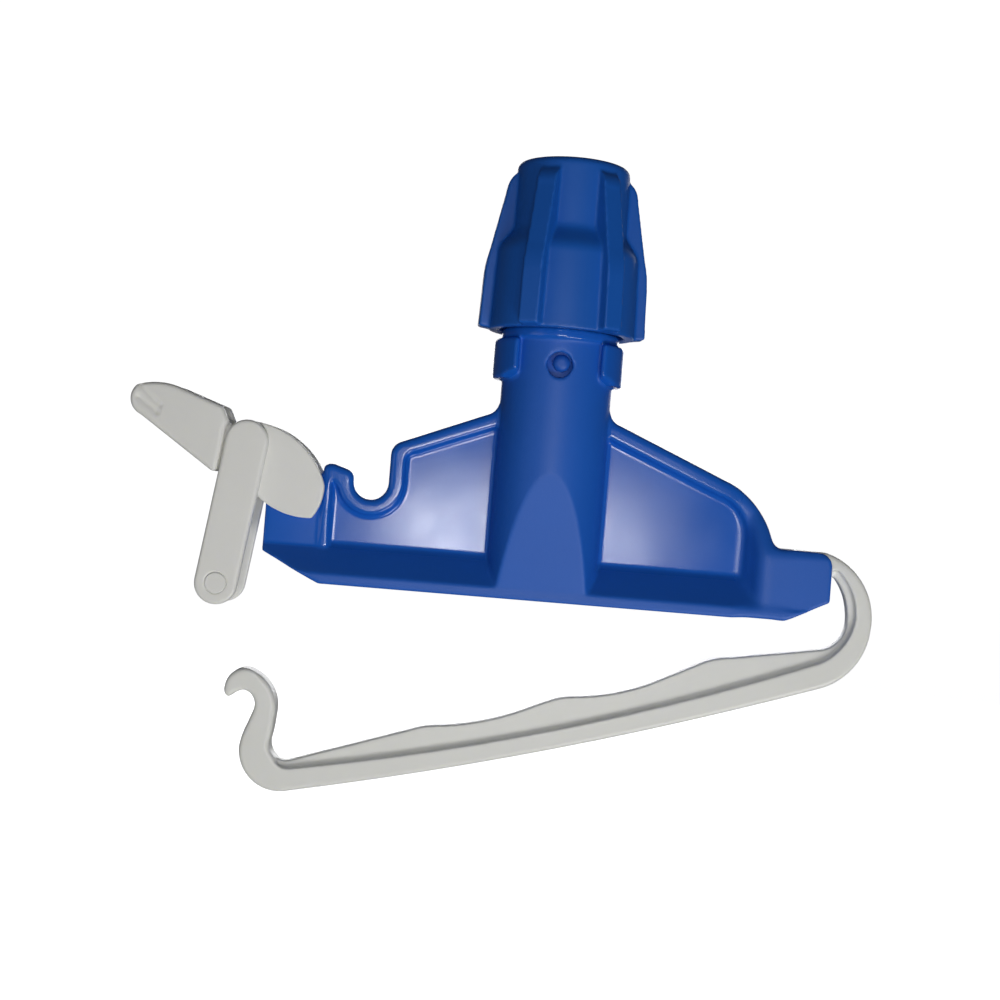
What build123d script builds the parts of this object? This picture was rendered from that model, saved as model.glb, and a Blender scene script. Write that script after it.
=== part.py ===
"""Wet mop clamp: moulded body with a pole socket, collet nut, clamp bar and toggle latch.

Millimetres. +X runs along the jaw towards the bar's hinge, +Z up the pole, and -Y is the front.
The origin is on the pole's axis, where the pole's end seats in the socket.
"""

import os
from math import cos, radians, sin

from build123d import *

os.makedirs("parts", exist_ok=True)

# ---- driving dimensions -------------------------------------------------------------------
base_line = -34.0  # height of the outlines' base line, measured from the pole's seat
lip_height = 0.6  # jaw lips above the base line
tube_radius = 15.5
socket_radius = 13.35
pole_radius = 11.9  # inside of the collet sleeve
pin_gap = 0.05  # radial clearance of a turning pin

lip_half = 9.2  # half the depth of the foot
housing_half = 8.7  # half the depth of the hinge housing
rim_half = 3.6  # half the depth of the wings' rims
web_half = 1.5  # half the thickness of the wings' panels
left_plate_half = 2.8  # half the thickness of the plate that carries the lever

nut_bottom = 75.4  # heights above the base line
nut_top = 122.8
snap_height = 65.8
snap_hole_radius = 3.5
button_radius = 2.4
button_place = (0.4, 66.3)

bar_pivot = (71.5, 14.5)
lever_pivot = (-69.15, 24.7)
link_pivot = (-84.4, 38.3)
hook_pivot = (-89.9, -1.5)

cheek_inner = 3.9  # lever cheeks, distance from the middle plane
cheek_outer = 6.0
plate_inner = 6.2  # link plates
plate_outer = 8.5
plate_radius = 6.0
paddle_half = 7.8
paddle_wall = 2.0

hinge_pin_radius = 2.5
lever_pin_radius = 2.25
lever_pin_half = 5.2  # half the length of the lever's pin
link_pin_radius = 2.0
link_pin_half = 7.5
hook_pin_radius = 3.0

# Local x is the part's X and local y is the height above the base line.
front = Plane(origin=(0, 0, base_line), x_dir=(1, 0, 0), z_dir=(0, -1, 0))
side = Plane(origin=(0, 0, base_line), x_dir=(0, 1, 0), z_dir=(1, 0, 0))


def level(height):
    """A horizontal plane at a height above the base line."""
    return Plane.XY.offset(base_line + height)


def at_depth(depth):
    """Selects the edges that lie wholly at one distance from the middle plane."""
    return lambda edge: all(abs(abs(vertex.Y) - depth) < 1e-3 for vertex in edge.vertices())


# ---- clamp body: left wing ----------------------------------------------------------------
with BuildPart() as left_wing:
    with BuildSketch(front):
        with BuildLine():
            Polyline((0, 5), (0, 55.7), (-15.5, 55.7))
            ThreePointArc((-15.5, 55.7), (-16.5, 52.9), (-19.0, 51.3))
            Line((-19.0, 51.3), (-41.5, 42.1))
            ThreePointArc((-41.5, 42.1), (-44.1, 40.3), (-44.8, 37.4))
            Line((-44.8, 37.4), (-44.8, 29.8))
            ThreePointArc((-44.8, 29.8), (-49.65, 24.95), (-54.5, 29.8))
            ThreePointArc((-54.5, 29.8), (-54.9, 31.8), (-56.3, 32.9))
            Line((-56.3, 32.9), (-59.8, 34.0))
            ThreePointArc((-59.8, 34.0), (-61.6, 34.1), (-63.2, 33.1))
            Polyline((-63.2, 33.1), (-63.2, 5), (0, 5))
        make_face()
    extrude(amount=rim_half, both=True)
    fillet(left_wing.edges().filter_by(at_depth(rim_half)), radius=1.5)
    for sense in (1, -1):
        with BuildSketch(front.offset(sense * web_half)):
            with BuildLine():
                Line((-14, 3), (-14, 48.3))
                Polyline((-14, 48.3), (-37.8, 38.9))
                ThreePointArc((-37.8, 38.9), (-39.5, 38.1), (-40.1, 36.6))
                Line((-40.1, 36.6), (-40.1, 29.8))
                ThreePointArc((-40.1, 29.8), (-49.65, 20.25), (-58.9, 27.4))
                Polyline((-58.9, 27.4), (-60.1, 28.6), (-60.1, 3), (-14, 3))
            make_face()
        extrude(amount=sense * 4, taper=-15, mode=Mode.SUBTRACT)
    for sense in (1, -1):  # the rib beside the lever's plate gets lower towards the foot
        with BuildSketch(side.offset(-66)):
            with BuildLine():
                Polyline((sense * left_plate_half, 6), (sense * rim_half, 27), (sense * 10, 27))
                Polyline((sense * 10, 27), (sense * 10, 6), (sense * left_plate_half, 6))
            make_face()
        extrude(amount=8, mode=Mode.SUBTRACT)

# ---- clamp body: right wing ---------------------------------------------------------------
with BuildPart() as right_wing:
    with BuildSketch(front):
        with BuildLine():
            Polyline((0, 5), (0, 55.7), (15.5, 55.7))
            ThreePointArc((15.5, 55.7), (16.4, 52.9), (18.9, 51.2))
            Line((18.9, 51.2), (49.3, 38.4))
            ThreePointArc((49.3, 38.4), (58.6, 32.0), (63.2, 22.9))
            Polyline((63.2, 22.9), (66, 18), (66, 5), (0, 5))
        make_face()
    extrude(amount=rim_half, both=True)
    fillet(right_wing.edges().filter_by(at_depth(rim_half)), radius=1.5)
    for sense in (1, -1):
        with BuildSketch(front.offset(sense * web_half)):
            with BuildLine():
                Polyline((14, 3), (14, 47.6), (47.5, 33.7))
                ThreePointArc((47.5, 33.7), (53.8, 29.6), (56.2, 22.5))
                Polyline((56.2, 22.5), (56.2, 3), (14, 3))
            make_face()
        extrude(amount=sense * 4, taper=-15, mode=Mode.SUBTRACT)

# ---- clamp body: hinge housing, flared into the right shoulder ----------------------------
with BuildPart() as housing:
    with BuildSketch(front):
        with BuildLine():
            Polyline((55, 2), (55, 34.5), (57.4, 33.0))
            ThreePointArc((57.4, 33.0), (61.0, 28.6), (63.2, 22.9))
            ThreePointArc((63.2, 22.9), (64.3, 21.2), (66.4, 20.6))
            Line((66.4, 20.6), (76.0, 20.5))
            ThreePointArc((76.0, 20.5), (78.8, 19.3), (79.9, 16.6))
            Polyline((79.9, 16.6), (80.0, 6.8), (70.0, 2), (55, 2))
        make_face()
    extrude(amount=housing_half, both=True)
    with BuildSketch(side):
        with BuildLine():
            Polyline((-housing_half, 0), (-housing_half, 18.6), (-rim_half, 30), (-3, 36))
            Polyline((-3, 36), (3, 36), (rim_half, 30), (housing_half, 18.6), (housing_half, 0))
            Line((housing_half, 0), (-housing_half, 0))
        make_face()
    extrude(amount=100, mode=Mode.INTERSECT)
    with BuildSketch(Plane.XY):
        with BuildLine():
            Polyline((55.8, -web_half), (60.2, -housing_half), (82, -housing_half), (82, housing_half))
            Polyline((82, housing_half), (60.2, housing_half), (55.8, web_half), (55.8, -web_half))
        make_face()
    extrude(amount=60, both=True, mode=Mode.INTERSECT)
    fillet(housing.edges().filter_by(at_depth(housing_half)).group_by(Axis.X)[0], radius=4)
    fillet(housing.edges().filter_by(at_depth(housing_half)).group_by(Axis.Z)[-1], radius=1.2)

# ---- clamp body: pole tube with its front and back facets ---------------------------------
facet_top = 36.0
facet_foot = 3.5
with BuildPart() as tube:
    with BuildSketch(level(lip_height)):
        Circle(tube_radius)
    extrude(amount=98 - lip_height)
    for sense in (1, -1):
        with BuildSketch(side):
            with BuildLine():
                Polyline(
                    (sense * tube_radius, facet_top),
                    (sense * lip_half, facet_foot),
                    (sense * lip_half, -1),
                    (sense * 20, -1),
                    (sense * 20, facet_top),
                    (sense * tube_radius, facet_top),
                )
            make_face()
        extrude(amount=20, both=True, mode=Mode.SUBTRACT)

# ---- clamp body: side lugs ----------------------------------------------------------------
lug_radius = 18.4
lug_front_x = 11.3
with BuildPart() as lugs:
    with BuildSketch(level(61)):
        Circle(lug_radius)
        Rectangle(2 * lug_front_x, 2 * lug_radius, mode=Mode.SUBTRACT)
    extrude(amount=12)
    with BuildSketch(side):
        with BuildLine():
            Polyline((-16, 64.8), (-9, 61.6), (9, 61.6), (16, 64.8), (16, 72.7), (-16, 72.7), (-16, 64.8))
        make_face()
    extrude(amount=20, both=True, mode=Mode.INTERSECT)
    fillet(lugs.edges(), radius=0.8)

# ---- clamp body: jaw foot -----------------------------------------------------------------
slope_foot = 3.5
slope_top = 11.9
with BuildPart() as foot:
    with BuildSketch(side):
        with BuildLine():
            Polyline((-lip_half, lip_height), (-lip_half, slope_foot), (-web_half, slope_top))
            Polyline((-web_half, slope_top), (web_half, slope_top), (lip_half, slope_foot))
            Polyline((lip_half, slope_foot), (lip_half, lip_height), (-lip_half, lip_height))
        make_face()
    extrude(amount=90, both=True)
    with BuildSketch(front):
        with BuildLine():
            Polyline((-61.6, lip_height), (-78.4, 8.4), (-78.4, 14), (80.0, 14), (80.0, 6.8))
            Polyline((80.0, 6.8), (67.6, lip_height), (-61.6, lip_height))
        make_face()
    extrude(amount=20, both=True, mode=Mode.INTERSECT)

# ---- clamp body: everything joined, then cut ----------------------------------------------
slot_half = 4.4
slot_start = 64.0
thread_radius = 15.9
with BuildPart() as clamp_body:
    add(left_wing.part)
    add(right_wing.part)
    with BuildSketch(front):  # panels of both wings
        with BuildLine():
            Polyline((-62, 6), (-62, 31), (-59, 30), (-49.65, 22.5), (-42, 30), (-42, 38.5))
            Polyline((-42, 38.5), (0, 55), (49, 36), (60, 26), (60, 6), (-62, 6))
        make_face()
    extrude(amount=web_half, both=True)
    with BuildSketch(front):  # left plate, which carries the lever
        with BuildLine():
            Polyline((-62, 6), (-62, 31), (-69, 30.6), (-75.5, 28.2))
            ThreePointArc((-75.5, 28.2), (-77.8, 26.4), (-78.6, 23.0))
            Polyline((-78.6, 23.0), (-78.6, 8.2), (-74, 6), (-62, 6))
        make_face()
    extrude(amount=left_plate_half, both=True)
    with BuildSketch(front):  # hub of the lever's pin
        with Locations(lever_pivot):
            Circle(5.2)
    extrude(amount=cheek_inner - 0.2, both=True)
    add(foot.part)
    add(housing.part)
    add(tube.part)
    add(lugs.part)
    with BuildSketch(level(73)):  # collar below the nut
        Circle(16.5)
    extrude(amount=2.6)
    for turn in range(5):  # thread, as plain ridges
        with BuildSketch(level(80 + 3 * turn)):
            Circle(thread_radius)
        extrude(amount=1.4)
    with BuildSketch(Plane.XY):  # pole socket
        Circle(socket_radius)
    extrude(amount=70, mode=Mode.SUBTRACT)
    with BuildSketch(front.offset(10)):  # snap hole
        with Locations((0, snap_height)):
            Circle(snap_hole_radius)
    extrude(amount=10, mode=Mode.SUBTRACT)
    with BuildSketch(level(-1)):  # core below the socket's floor
        RectangleRounded(22, 12.5, 5)
    extrude(amount=31, mode=Mode.SUBTRACT)
    with BuildSketch(side):  # jaw channel
        with BuildLine():
            Polyline((-7.3, -1), (-7.3, 2.8), (-0.7, 9.9), (0.7, 9.9), (7.3, 2.8), (7.3, -1), (-7.3, -1))
        make_face()
    extrude(amount=90, both=True, mode=Mode.SUBTRACT)
    with BuildSketch(front):  # slot for the bar's neck
        with BuildLine():
            Polyline((slot_start, 10), (slot_start, 40), (90, 40), (90, -2), (slot_start - 4, -2))
            Polyline((slot_start - 4, -2), (slot_start - 4, 6), (slot_start, 10))
        make_face()
    extrude(amount=slot_half, both=True, mode=Mode.SUBTRACT)
    with BuildSketch(front.offset(-housing_half - 1)):  # bore of the bar's pin, blind at the front
        with Locations(bar_pivot):
            Circle(hinge_pin_radius + pin_gap)
    extrude(amount=2 * housing_half - 0.5, mode=Mode.SUBTRACT)
    with BuildSketch(front):  # bore of the lever's pin
        with Locations(lever_pivot):
            Circle(lever_pin_radius)
    extrude(amount=10, both=True, mode=Mode.SUBTRACT)

# ---- collet sleeve and its catch ----------------------------------------------------------
sleeve_top = 113.0
sleeve_radius = 13.25
catch_half = 4.0
catch_gap = 0.6
catch_top = 77.0
catch_foot = 61.6
with BuildPart() as collet_sleeve:
    with BuildSketch(front):
        with BuildLine():
            Polyline((pole_radius, 34.0), (sleeve_radius, 34.0), (sleeve_radius, 103), (12.7, sleeve_top))
            Polyline((12.7, sleeve_top), (pole_radius, sleeve_top), (pole_radius, 34.0))
        make_face()
    revolve(axis=Axis.Z)
    for angle in (45, 135, 225, 315):  # slits between the gripping fingers
        with BuildSketch(Plane(level(84).origin, (cos(radians(angle)), sin(radians(angle)), 0), (0, 0, 1))):
            with Locations((12.5, 0)):
                Rectangle(5, 2)
        extrude(amount=40, mode=Mode.SUBTRACT)
    with BuildSketch(front.offset(8)):  # window of the catch
        with Locations((0, (catch_top + catch_foot - catch_gap) / 2)):
            Rectangle(2 * (catch_half + catch_gap), catch_top - catch_foot + catch_gap)
    extrude(amount=8, mode=Mode.SUBTRACT)

with BuildPart() as sleeve_catch:
    with BuildSketch(level(catch_foot)):
        Circle(sleeve_radius)
        Circle(pole_radius, mode=Mode.SUBTRACT)
        with Locations((0, -12.6)):
            Rectangle(2 * catch_half, 4, mode=Mode.INTERSECT)
    extrude(amount=catch_top - catch_foot - 0.2)
    with BuildSketch(front.offset(12.4)):
        with Locations(button_place):
            Circle(button_radius)
    extrude(amount=3.1)
    fillet(sleeve_catch.edges().sort_by(Axis.Y)[0], radius=1.6)

# ---- grip nut -----------------------------------------------------------------------------
rib_count = 6
rib_phase = -25.0  # from the front towards +X
rib_half = 2.9
with BuildPart() as grip_nut:
    with BuildSketch(front):
        with BuildLine():
            Polyline((0, nut_bottom), (20.6, nut_bottom), (20.0, 96.0))
            Spline((20.0, 96.0), (18.2, 100.4), (16.3, 103.2), (16.0, 106.5), tangents=((0, 1), (0, 1)))
            Line((16.0, 106.5), (15.9, nut_top - 2))
            ThreePointArc((15.9, nut_top - 2), (15.3, nut_top - 0.6), (13.9, nut_top))
            Polyline((13.9, nut_top), (0, nut_top), (0, nut_bottom))
        make_face()
    revolve(axis=Axis.Z)
    for rib in range(rib_count):
        angle = radians(rib_phase + rib * 360 / rib_count)
        outward = (sin(angle), -cos(angle), 0)
        with BuildSketch(Plane(front.origin, outward, (-cos(angle), -sin(angle), 0))):
            with BuildLine():
                Polyline((13, nut_bottom), (20.0, nut_bottom), (23.5, nut_bottom + 0.5), (23.0, 91.0))
                ThreePointArc((23.0, 91.0), (22.6, 94.4), (21.9, 97.5))
                Line((21.9, 97.5), (18.5, 114.5))
                ThreePointArc((18.5, 114.5), (17.6, 117.6), (15.6, 119.6))
                Polyline((15.6, 119.6), (13, 119.6), (13, nut_bottom))
            make_face()
        extrude(amount=rib_half, both=True)
    with BuildSketch(front):
        with BuildLine():
            Polyline((0, 70), (17.6, 70), (17.6, 77.4), (16.3, 79), (16.3, 98.6), (14.2, 100))
            Polyline((14.2, 100), (13.2, 115), (12.3, 117), (12.3, 121.6), (13.3, 123), (0, 123), (0, 70))
        make_face()
    revolve(axis=Axis.Z, mode=Mode.SUBTRACT)

# ---- clamp bar ----------------------------------------------------------------------------
bar_half = 4.0
bar_web_half = 2.0
with BuildPart() as clamp_bar:
    with BuildSketch(front):
        with BuildLine():
            Line((71.5, 20.6), (78.8, 20.6))
            ThreePointArc((78.8, 20.6), (89.9, 12.9), (93.2, 0.2))
            ThreePointArc((93.2, 0.2), (89.8, -10.2), (79.5, -17.9))
            ThreePointArc((79.5, -17.9), (9.8, -39.9), (-65.6, -58.2))
            ThreePointArc((-65.6, -58.2), (-76.9, -55.5), (-80.5, -46.9))
            ThreePointArc((-80.5, -46.9), (-79.9, -43.6), (-78.7, -40.3))
            Line((-78.7, -40.3), (-77.3, -36.4))
            ThreePointArc((-77.3, -36.4), (-77.9, -32.5), (-80.5, -31.0))
            ThreePointArc((-80.5, -31.0), (-82.8, -32.1), (-84.3, -33.5))
            ThreePointArc((-84.3, -33.5), (-85.5, -32.7), (-85.9, -30.5))
            ThreePointArc((-85.9, -30.5), (-84.2, -26.6), (-80.2, -24.8))
            ThreePointArc((-80.2, -24.8), (-74.2, -28.1), (-71.2, -37.9))
            ThreePointArc((-71.2, -37.9), (-71.5, -41.4), (-72.1, -44.8))
            ThreePointArc((-72.1, -44.8), (-71.0, -48.4), (-66.4, -49.9))
            Line((-66.4, -49.9), (-32.8, -38.4))
            ThreePointArc((-32.8, -38.4), (-28.9, -37.2), (-24.5, -36.7))
            ThreePointArc((-24.5, -36.7), (-12.0, -34.1), (1.1, -29.0))
            Line((1.1, -29.0), (4.6, -27.5))
            ThreePointArc((4.6, -27.5), (8.1, -26.2), (11.7, -25.6))
            ThreePointArc((11.7, -25.6), (23.2, -23.7), (34.3, -19.6))
            Line((34.3, -19.6), (46.2, -13.6))
            ThreePointArc((46.2, -13.6), (50.4, -11.8), (54.7, -11.1))
            Line((54.7, -11.1), (80.6, -6.7))
            ThreePointArc((80.6, -6.7), (85.2, -3.2), (86.5, 2.8))
            ThreePointArc((86.5, 2.8), (85.2, 8.9), (81.9, 14.1))
            Polyline((81.9, 14.1), (77.0, 12.0), (71.5, 12.0), (71.5, 20.6))
        make_face()
        with Locations(bar_pivot):
            Circle(6.1)
    extrude(amount=bar_half, both=True)
    fillet(clamp_bar.edges().filter_by(at_depth(bar_half)), radius=1.0)
    for sense in (1, -1):  # the web above the spine is thinner than the spine
        with BuildSketch(front.offset(sense * bar_web_half)):
            with BuildLine():
                Line((-68.5, -45), (-70.2, -50.0))
                ThreePointArc((-70.2, -50.0), (-68.6, -51.4), (-66.0, -51.8))
                ThreePointArc((-66.0, -51.8), (4.9, -35.6), (77.4, -11.2))
                ThreePointArc((77.4, -11.2), (85.6, -5.2), (88.4, 2.2))
                ThreePointArc((88.4, 2.2), (86.8, 10.3), (82.3, 16.0))
                Polyline((82.3, 16.0), (79.5, 14.5), (80, 6), (74, -2), (50, -7), (4, -22), (-68.5, -45))
            make_face()
        extrude(amount=sense * 4, mode=Mode.SUBTRACT)
    with BuildSketch(front):
        with Locations(bar_pivot):
            Circle(hinge_pin_radius + pin_gap)
    extrude(amount=10, both=True, mode=Mode.SUBTRACT)

with BuildPart() as bar_hinge_pin:
    with BuildSketch(front.offset(-housing_half)):
        with Locations(bar_pivot):
            Circle(hinge_pin_radius)
    extrude(amount=2 * housing_half - 1.7)
    chamfer(bar_hinge_pin.edges(), length=0.3)

# ---- latch lever --------------------------------------------------------------------------
with BuildPart() as latch_lever:
    with BuildSketch(front):  # thumb paddle, a trough that straddles the left wing when closed
        with BuildLine():
            Line((-92.4, 28.4), (-114.6, 43.3))
            ThreePointArc((-114.6, 43.3), (-117.8, 47.8), (-116.2, 51.6))
            ThreePointArc((-116.2, 51.6), (-109.6, 52.7), (-103.2, 51.4))
            Line((-103.2, 51.4), (-91.9, 47.5))
            Line((-91.9, 47.5), (-90.0, 43.6))
            ThreePointArc((-90.0, 43.6), (-90.8, 41.3), (-91.0, 38.6))
            Line((-91.0, 38.6), (-92.4, 28.4))
        make_face()
    extrude(amount=paddle_half, both=True)
    fillet(latch_lever.edges().filter_by(at_depth(paddle_half)), radius=1.2)
    with BuildSketch(front):  # inside of the trough
        with BuildLine():
            Line((-84.0, 25.8), (-113.4, 45.3))
            ThreePointArc((-113.4, 45.3), (-115.0, 47.0), (-115.5, 49.0))
            Polyline((-115.5, 49.0), (-120, 52), (-120, 58), (-84, 58), (-84.0, 25.8))
        make_face()
    extrude(amount=paddle_half - paddle_wall, both=True, mode=Mode.SUBTRACT)
    for sense in (1, -1):  # cheeks
        with BuildSketch(front.offset(sense * cheek_inner)):
            with BuildLine():
                ThreePointArc((-65.2, 18.4), (-72.6, 19.1), (-80.6, 23.3))
                Polyline((-80.6, 23.3), (-90.3, 29.2), (-92.5, 31.0), (-97, 34.0), (-97, 46.0))
                Polyline((-97, 46.0), (-91.2, 44.0), (-88.6, 41.8))
                ThreePointArc((-88.6, 41.8), (-86.8, 43.5), (-84.1, 44.1))
                ThreePointArc((-84.1, 44.1), (-69.8, 38.8), (-62.3, 28.0))
                ThreePointArc((-62.3, 28.0), (-62.9, 22.8), (-65.2, 18.4))
            make_face()
        extrude(amount=sense * (cheek_outer - cheek_inner))
    with BuildSketch(front):  # boss that drops into the body's notch
        with Locations(link_pivot):
            Circle(4.0)
    extrude(amount=cheek_inner, both=True)
    with BuildSketch(front):
        with Locations(link_pivot):
            Circle(link_pin_radius)
    extrude(amount=10, both=True, mode=Mode.SUBTRACT)
    with BuildSketch(front):  # blind sockets of the lever's pin
        with Locations(lever_pivot):
            Circle(lever_pin_radius + pin_gap)
    extrude(amount=lever_pin_half + 0.1, both=True, mode=Mode.SUBTRACT)

with BuildPart() as lever_hinge_pin:
    with BuildSketch(front):
        with Locations(lever_pivot):
            Circle(lever_pin_radius)
    extrude(amount=lever_pin_half, both=True)
    chamfer(lever_hinge_pin.edges(), length=0.3)

# ---- link ---------------------------------------------------------------------------------
with BuildPart() as link_pivot_pin:
    with BuildSketch(front):
        with Locations(link_pivot):
            Circle(link_pin_radius)
    extrude(amount=link_pin_half, both=True)
    chamfer(link_pivot_pin.edges(), length=0.3)

with BuildPart() as hook_pin:
    with BuildSketch(front):
        with Locations(hook_pivot):
            Circle(hook_pin_radius)
    extrude(amount=plate_outer + 0.15, both=True)
    chamfer(hook_pin.edges(), length=0.3)

with BuildPart() as link_plate_front:
    with BuildSketch(front.offset(plate_inner)):
        for pivot in (link_pivot, hook_pivot):
            with Locations(pivot):
                Circle(plate_radius)
        make_hull()
    extrude(amount=plate_outer - plate_inner)
    fillet(link_plate_front.edges().group_by(Axis.Y)[0], radius=0.9)
    with BuildSketch(front):
        with Locations(link_pivot):
            Circle(link_pin_radius + pin_gap)
    extrude(amount=link_pin_half + 0.1, mode=Mode.SUBTRACT)
    with BuildSketch(front):
        with Locations(hook_pivot):
            Circle(hook_pin_radius + 0.02)
    extrude(amount=20, mode=Mode.SUBTRACT)

with BuildPart() as link_plate_rear:
    add(link_plate_front.part.mirror(Plane.XZ))

# ---- labels and files ---------------------------------------------------------------------
clamp_body.part.label = "clamp_body"
collet_sleeve.part.label = "collet_sleeve"
sleeve_catch.part.label = "sleeve_catch"
grip_nut.part.label = "grip_nut"
clamp_bar.part.label = "clamp_bar"
bar_hinge_pin.part.label = "bar_hinge_pin"
latch_lever.part.label = "latch_lever"
lever_hinge_pin.part.label = "lever_hinge_pin"
link_pivot_pin.part.label = "link_pivot_pin"
link_plate_front.part.label = "link_plate_front"
link_plate_rear.part.label = "link_plate_rear"
hook_pin.part.label = "hook_pin"

export_step(clamp_body.part, "parts/clamp_body.step")
export_step(collet_sleeve.part, "parts/collet_sleeve.step")
export_step(sleeve_catch.part, "parts/sleeve_catch.step")
export_step(grip_nut.part, "parts/grip_nut.step")
export_step(clamp_bar.part, "parts/clamp_bar.step")
export_step(bar_hinge_pin.part, "parts/bar_hinge_pin.step")
export_step(latch_lever.part, "parts/latch_lever.step")
export_step(lever_hinge_pin.part, "parts/lever_hinge_pin.step")
export_step(link_pivot_pin.part, "parts/link_pivot_pin.step")
export_step(link_plate_front.part, "parts/link_plate_front.step")
export_step(link_plate_rear.part, "parts/link_plate_rear.step")
export_step(hook_pin.part, "parts/hook_pin.step")
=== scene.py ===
"""Looks of the wet mop clamp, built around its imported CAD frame. Everything is in metres."""

import math

import bpy
import numpy as np
from mathutils import Matrix, Vector


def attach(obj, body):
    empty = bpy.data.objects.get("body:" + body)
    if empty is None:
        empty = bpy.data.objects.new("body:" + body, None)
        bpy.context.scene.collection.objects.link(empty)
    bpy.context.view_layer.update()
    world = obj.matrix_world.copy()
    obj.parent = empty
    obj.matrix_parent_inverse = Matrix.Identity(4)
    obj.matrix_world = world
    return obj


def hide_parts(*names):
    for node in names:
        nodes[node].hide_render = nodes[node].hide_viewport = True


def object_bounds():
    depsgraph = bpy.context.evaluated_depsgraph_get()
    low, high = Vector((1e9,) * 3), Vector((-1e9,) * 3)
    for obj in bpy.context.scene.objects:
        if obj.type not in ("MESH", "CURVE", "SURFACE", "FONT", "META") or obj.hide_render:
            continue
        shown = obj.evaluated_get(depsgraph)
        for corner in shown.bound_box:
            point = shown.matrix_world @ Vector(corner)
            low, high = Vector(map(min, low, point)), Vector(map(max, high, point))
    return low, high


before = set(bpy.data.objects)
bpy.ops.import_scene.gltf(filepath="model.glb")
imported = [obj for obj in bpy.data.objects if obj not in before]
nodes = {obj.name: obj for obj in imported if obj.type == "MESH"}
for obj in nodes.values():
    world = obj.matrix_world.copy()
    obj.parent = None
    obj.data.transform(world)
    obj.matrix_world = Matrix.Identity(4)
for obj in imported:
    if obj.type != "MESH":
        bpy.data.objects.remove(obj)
cad_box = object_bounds()

MM = 0.001
TUBE_RADIUS = 15.5 * MM
HOUSING_SIDE = 55 * MM  # the hinge housing lies beyond this x
PANEL_FOOT = -24 * MM  # the foot lies below this height
CAMERA_PLACE = (-0.01325, -0.4368, -0.00624)
CAMERA_ROLL = math.radians(4.7)


# ---- materials ----------------------------------------------------------------------------
NOISE_LOW, NOISE_HIGH = 0.3, 0.7  # most of a noise texture's values lie between these
MATTE_ROUGHNESS = (0.42, 0.55)
TUBE_FADE = (0.3 * MM, 0.9 * MM)  # the matte texture ends within this distance of the tube's wall
HOUSING_FADE = 2 * MM
FOOT_FADE = 0.8 * MM


class Shader:
    """A small helper that adds and joins the nodes of one procedural material."""

    def __init__(self, name):
        self.material = bpy.data.materials.new(name)
        self.material.use_nodes = True
        self.tree = self.material.node_tree
        self.surface = self.tree.nodes["Principled BSDF"]
        coordinates = self.tree.nodes.new("ShaderNodeTexCoord")
        self.place = coordinates.outputs["Object"]

    def add(self, kind, inputs=None, **settings):
        node = self.tree.nodes.new("ShaderNode" + kind)
        for key, value in settings.items():
            setattr(node, key, value)
        for key, value in (inputs or {}).items():
            if isinstance(value, bpy.types.NodeSocket):
                self.tree.links.new(value, node.inputs[key])
            else:
                node.inputs[key].default_value = value
        return node

    def noise(self, scale, detail=3.0, roughness=0.5):
        values = {"Vector": self.place, "Scale": scale, "Detail": detail, "Roughness": roughness}
        return self.add("TexNoise", values).outputs["Fac"]

    def math(self, operation, first, second=0.0, third=0.0):
        node = self.add("Math", {0: first, 1: second, 2: third}, operation=operation)
        return node.outputs[0]

    def fit(self, value, low, high, to_low, to_high):
        values = {"Value": value, "From Min": low, "From Max": high, "To Min": to_low, "To Max": to_high}
        return self.add("MapRange", values).outputs["Result"]

    def mix_colour(self, factor, first, second):
        node = self.add("Mix", data_type="RGBA")
        for key, value in ((0, factor), (6, first), (7, second)):
            if isinstance(value, bpy.types.NodeSocket):
                self.tree.links.new(value, node.inputs[key])
            else:
                node.inputs[key].default_value = value
        return node.outputs[2]

    def bump(self, height, strength, distance):
        values = {"Height": height, "Strength": strength, "Distance": distance}
        return self.add("Bump", values).outputs["Normal"]

    def connect(self, **sockets):
        for key, value in sockets.items():
            self.tree.links.new(value, self.surface.inputs[key.replace("_", " ")])


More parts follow.
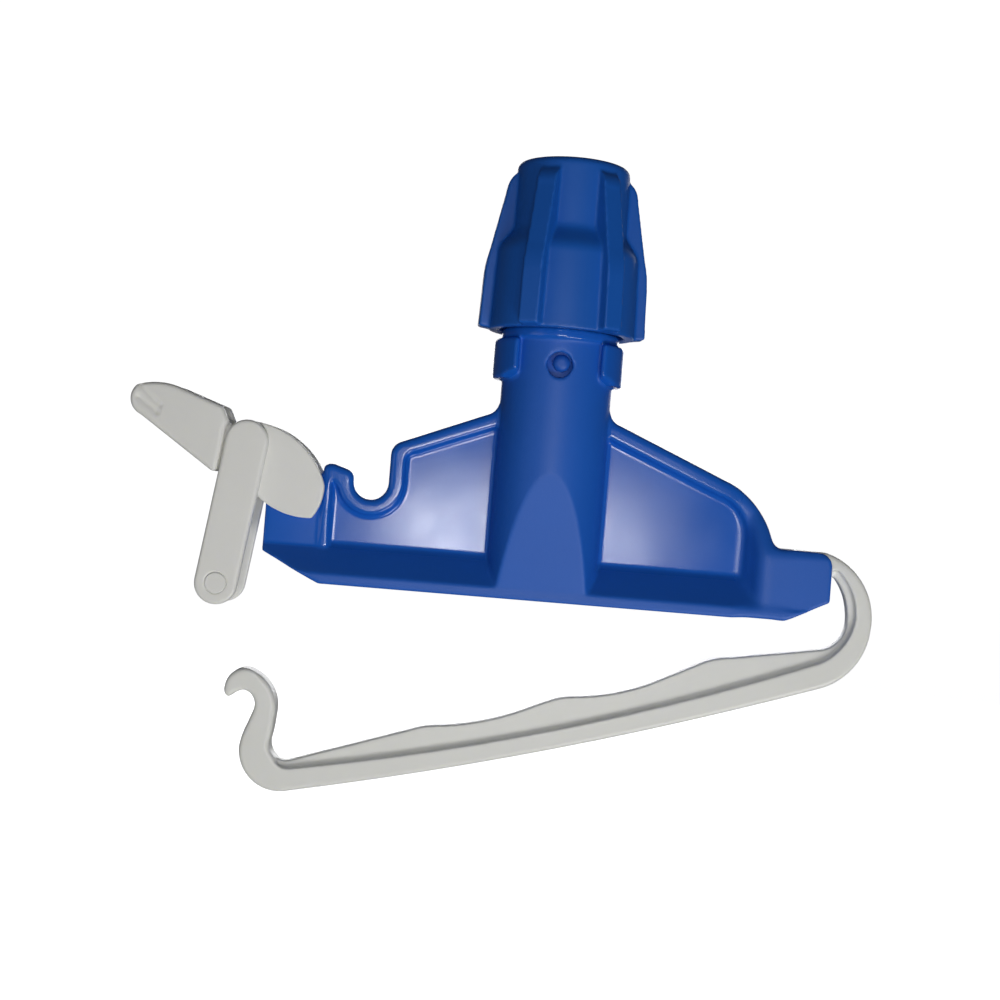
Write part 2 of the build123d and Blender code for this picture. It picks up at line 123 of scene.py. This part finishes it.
def blue_plastic(name, light, dark, rough, grain, matte_grain):
    """Moulded blue polypropylene: glossy, with a fine matte texture on tube, foot and housing."""
    shader = Shader(name)
    position = shader.add("SeparateXYZ", {0: shader.place})
    x_squared = shader.math("MULTIPLY", position.outputs[0], position.outputs[0])
    y_squared = shader.math("MULTIPLY", position.outputs[1], position.outputs[1])
    radius = shader.math("SQRT", shader.math("ADD", x_squared, y_squared))
    near, far = TUBE_RADIUS + TUBE_FADE[0], TUBE_RADIUS + TUBE_FADE[1]
    on_tube = shader.fit(radius, near, far, 1.0, 0.0)
    near, far = HOUSING_SIDE - HOUSING_FADE, HOUSING_SIDE + HOUSING_FADE
    on_housing = shader.fit(position.outputs[0], near, far, 0.0, 1.0)
    on_foot = shader.fit(position.outputs[2], PANEL_FOOT, PANEL_FOOT + FOOT_FADE, 1.0, 0.0)
    matte = shader.math("MAXIMUM", on_tube, shader.math("MAXIMUM", on_housing, on_foot))
    cloud = shader.noise(45.0, 4.0, 0.6)
    speckle = shader.noise(2600.0, 2.0, 0.6)
    colour = shader.mix_colour(cloud, dark, light)
    shader.connect(Base_Color=colour)
    haze = shader.fit(cloud, NOISE_LOW, NOISE_HIGH, rough - 0.03, rough + 0.05)
    texture_rough = shader.fit(speckle, NOISE_LOW, NOISE_HIGH, *MATTE_ROUGHNESS)
    gloss_part = shader.math("MULTIPLY", haze, shader.math("SUBTRACT", 1.0, matte))
    shader.connect(Roughness=shader.math("MULTIPLY_ADD", texture_rough, matte, gloss_part))
    ripple = shader.noise(110.0, 2.0, 0.5)
    soft = shader.bump(ripple, grain, 0.15 * MM)
    fine_strength = shader.math("MULTIPLY", speckle, matte)
    fine = shader.add(
        "Bump",
        {"Height": fine_strength, "Strength": matte_grain, "Distance": 0.05 * MM, "Normal": soft},
    )
    shader.connect(Normal=fine.outputs["Normal"])
    shader.surface.inputs["IOR"].default_value = 1.49
    return shader.material


def white_plastic(name, light, dark, rough):
    """Natural white polypropylene: satin, slightly translucent, with faint flow marks."""
    shader = Shader(name)
    cloud = shader.noise(60.0, 4.0, 0.6)
    flow = shader.noise(14.0, 3.0, 0.7)
    colour = shader.mix_colour(cloud, dark, light)
    shader.connect(Base_Color=colour)
    haze = shader.fit(flow, NOISE_LOW, NOISE_HIGH, rough - 0.04, rough + 0.06)
    shader.connect(Roughness=haze)
    ripple = shader.noise(240.0, 3.0, 0.55)
    shader.connect(Normal=shader.bump(ripple, 0.12, 0.08 * MM))
    shader.surface.inputs["IOR"].default_value = 1.47
    shader.surface.inputs["Subsurface Weight"].default_value = 0.35
    shader.surface.inputs["Subsurface Radius"].default_value = (0.0015, 0.0015, 0.0013)
    return shader.material


body_blue = blue_plastic("body_blue", (0.010, 0.126, 0.60, 1), (0.008, 0.108, 0.53, 1), 0.175, 0.10, 0.5)
nut_blue = blue_plastic("nut_blue", (0.008, 0.120, 0.55, 1), (0.006, 0.104, 0.48, 1), 0.42, 0.05, 0.5)
sleeve_blue = blue_plastic("sleeve_blue", (0.008, 0.105, 0.54, 1), (0.006, 0.09, 0.47, 1), 0.35, 0.06, 0.3)
bar_white = white_plastic("bar_white", (0.93, 0.93, 0.885, 1), (0.89, 0.89, 0.84, 1), 0.36)
latch_white = white_plastic("latch_white", (0.92, 0.915, 0.875, 1), (0.88, 0.875, 0.83, 1), 0.38)

NODE_MATERIALS = {
    "clamp_body": body_blue,
    "grip_nut": nut_blue,
    "collet_sleeve": sleeve_blue,
    "sleeve_catch": sleeve_blue,
    "bar_hinge_pin": body_blue,
    "clamp_bar": bar_white,
    "latch_lever": latch_white,
    "lever_hinge_pin": latch_white,
    "link_pivot_pin": latch_white,
    "link_plate_front": latch_white,
    "link_plate_rear": latch_white,
    "hook_pin": latch_white,
}
for node_name, material in NODE_MATERIALS.items():
    mesh = nodes[node_name].data
    mesh.materials.clear()
    mesh.materials.append(material)


# ---- moulded edges ------------------------------------------------------------------------
FACE_BAND = 0.6 * MM  # points this close to a piece's front or back count as on that face
SMOOTHING = 0.5
FLAT_ANGLE = math.radians(0.5)  # faces that turn less than this are joined


def points(mesh):
    """The mesh's vertices as rows of x, y and z."""
    coordinates = np.empty(len(mesh.vertices) * 3)
    mesh.vertices.foreach_get("co", coordinates)
    return coordinates.reshape(-1, 3)


def groove(coordinates, start, end, depth, width):
    """Presses a straight groove into the front and back faces, between two (x, z) points."""
    start, end = np.array(start), np.array(end)
    along = end - start
    flat = coordinates[:, [0, 2]]
    share = np.clip((flat - start) @ along / (along @ along), 0.0, 1.0)
    distance = np.linalg.norm(flat - (start + share[:, None] * along), axis=1)
    push = depth * np.exp(-((distance / width) ** 2))
    half = np.abs(coordinates[:, 1]).max()
    on_face = np.abs(coordinates[:, 1]) > half - FACE_BAND
    coordinates[on_face, 1] -= np.sign(coordinates[on_face, 1]) * push[on_face]


def applied(piece):
    """Applies the piece's modifiers and returns its new mesh."""
    evaluated = piece.evaluated_get(bpy.context.evaluated_depsgraph_get())
    mesh = bpy.data.meshes.new_from_object(evaluated)
    piece.modifiers.clear()
    piece.data = mesh
    return mesh


def smoothed(piece, passes, group=""):
    """Adds a smoothing modifier, for the whole piece or for one vertex group."""
    smooth = piece.modifiers.new("smooth", "SMOOTH")
    smooth.factor = SMOOTHING
    smooth.iterations = passes
    smooth.vertex_group = group


def blended(piece, start, full, fade, stop, passes):
    """Smooths a stretch along x where surfaces flow together, and returns the new mesh."""
    x = points(piece.data)[:, 0]
    rise = (x - start) / (full - start)
    fall = (stop - x) / (stop - fade)
    share = np.clip(np.minimum(rise, fall), 0.0, 1.0)
    group = piece.vertex_groups.new(name="blend")
    for index in np.nonzero(share > 0)[0]:
        group.add([int(index)], float(share[index]), "REPLACE")
    smoothed(piece, passes, group.name)
    return applied(piece)


def moulded(node_name, body, voxel, passes, grooves=(), blend=None):
    """A copy of a CAD node with the rounded edges and corners of a moulding stands for it."""
    piece = bpy.data.objects.new(node_name + "_moulded", nodes[node_name].data.copy())
    bpy.context.scene.collection.objects.link(piece)
    remesh = piece.modifiers.new("remesh", "REMESH")
    remesh.mode = "VOXEL"
    remesh.voxel_size = voxel
    smoothed(piece, passes)
    mesh = applied(piece)
    coordinates = points(mesh)
    for start, end, depth, width in grooves:
        groove(coordinates, start, end, depth, width)
    mesh.vertices.foreach_set("co", coordinates.ravel())
    if blend:
        mesh = blended(piece, *blend)
    mesh.shade_smooth()
    thin = piece.modifiers.new("thin", "DECIMATE")
    thin.decimate_type = "DISSOLVE"
    thin.angle_limit = FLAT_ANGLE
    even = piece.modifiers.new("even", "WEIGHTED_NORMAL")
    even.mode = "FACE_AREA"
    mesh = applied(piece)
    mesh.materials.clear()
    mesh.materials.append(NODE_MATERIALS[node_name])
    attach(piece, body)
    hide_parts(node_name)
    print("moulded", node_name, len(mesh.polygons))


THUMB_GROOVES = (  # start, end, depth and width
    ((-0.1148, 0.0172), (-0.1094, 0.0122), 0.45 * MM, 0.8 * MM),
    ((-0.1152, 0.0142), (-0.1100, 0.0104), 0.45 * MM, 0.8 * MM),
)
BLEND_TO_HOUSING = (53 * MM, 57 * MM, 64 * MM, 70 * MM, 60)  # start, full, fade, stop, passes
moulded("clamp_body", "body", 0.42 * MM, 8, blend=BLEND_TO_HOUSING)
moulded("grip_nut", "nut", 0.38 * MM, 8)
moulded("clamp_bar", "bar", 0.40 * MM, 16)
moulded("latch_lever", "lever", 0.35 * MM, 6, THUMB_GROOVES)
moulded("link_plate_front", "link", 0.30 * MM, 8)
moulded("link_plate_rear", "link", 0.30 * MM, 8)


# ---- floor and backdrop -------------------------------------------------------------------
FLOOR_GAP = 75 * MM  # between the floor and the clamp's lowest point


def sweep():
    """A pale floor that curves up into a backdrop and throws no shadow on the clamp."""
    width, depth_front, depth_back, height, bend, steps = 6.0, -1.5, 1.4, 3.0, 0.6, 12
    low = cad_box[0][2] - FLOOR_GAP
    line = [(depth_front, low), (depth_back - bend, low)]
    for step in range(1, steps + 1):
        angle = math.radians(90 * step / steps)
        line.append((depth_back - bend + bend * math.sin(angle), low + bend * (1 - math.cos(angle))))
    line.append((depth_back, height))
    corners = [(side * width / 2, y, z) for y, z in line for side in (-1, 1)]
    faces = [(2 * i, 2 * i + 1, 2 * i + 3, 2 * i + 2) for i in range(len(line) - 1)]
    mesh = bpy.data.meshes.new("floor")
    mesh.from_pydata(corners, [], faces)
    mesh.shade_smooth()
    floor = bpy.data.objects.new("floor", mesh)
    bpy.context.scene.collection.objects.link(floor)
    shader = Shader("floor_white")
    paper = shader.noise(900.0, 2.0, 0.5)
    shader.connect(Base_Color=shader.mix_colour(paper, (0.9, 0.9, 0.9, 1), (0.93, 0.93, 0.93, 1)))
    shader.surface.inputs["Roughness"].default_value = 0.9
    shader.surface.inputs["Emission Color"].default_value = (1, 1, 1, 1)
    shader.surface.inputs["Emission Strength"].default_value = 0.95
    mesh.materials.append(shader.material)
    floor.visible_glossy = False
    floor.visible_diffuse = False
    floor.visible_shadow = False


sweep()


# ---- light and camera ---------------------------------------------------------------------
def area_light(name, place, size, power):
    """A soft rectangular light that faces the frame's origin."""
    data = bpy.data.lights.new(name, "AREA")
    data.shape = "RECTANGLE"
    data.size, data.size_y = size
    data.energy = power
    lamp = bpy.data.objects.new(name, data)
    lamp.location = place
    lamp.rotation_euler = (-Vector(place)).to_track_quat("-Z", "Y").to_euler()
    bpy.context.scene.collection.objects.link(lamp)


area_light("key", (-0.003, -0.50, -0.030), (0.145, 0.045), 0.54)
area_light("low_fill", (0.45, -0.80, -0.70), (0.6, 0.3), 5.6)
area_light("left_fill", (-0.7, -0.7, -0.15), (0.5, 0.5), 0.6)
area_light("back_fill", (0.10, 0.90, 0.20), (0.8, 0.5), 4.0)

world = bpy.data.worlds.new("studio")
world.use_nodes = True
world.node_tree.nodes["Background"].inputs["Color"].default_value = (0.9, 0.94, 1.0, 1)
world.node_tree.nodes["Background"].inputs["Strength"].default_value = 0.05
bpy.context.scene.world = world
bpy.context.scene.view_settings.view_transform = "Standard"

camera_data = bpy.data.cameras.new("camera")
camera_data.sensor_width = 36.0
camera_data.lens = 55.8
camera_data.clip_start = 0.01
camera = bpy.data.objects.new("camera", camera_data)
level = Matrix.Rotation(math.radians(90), 4, "X")
camera.matrix_world = Matrix.Translation(CAMERA_PLACE) @ level @ Matrix.Rotation(CAMERA_ROLL, 4, "Z")
bpy.context.scene.collection.objects.link(camera)
bpy.context.scene.camera = camera
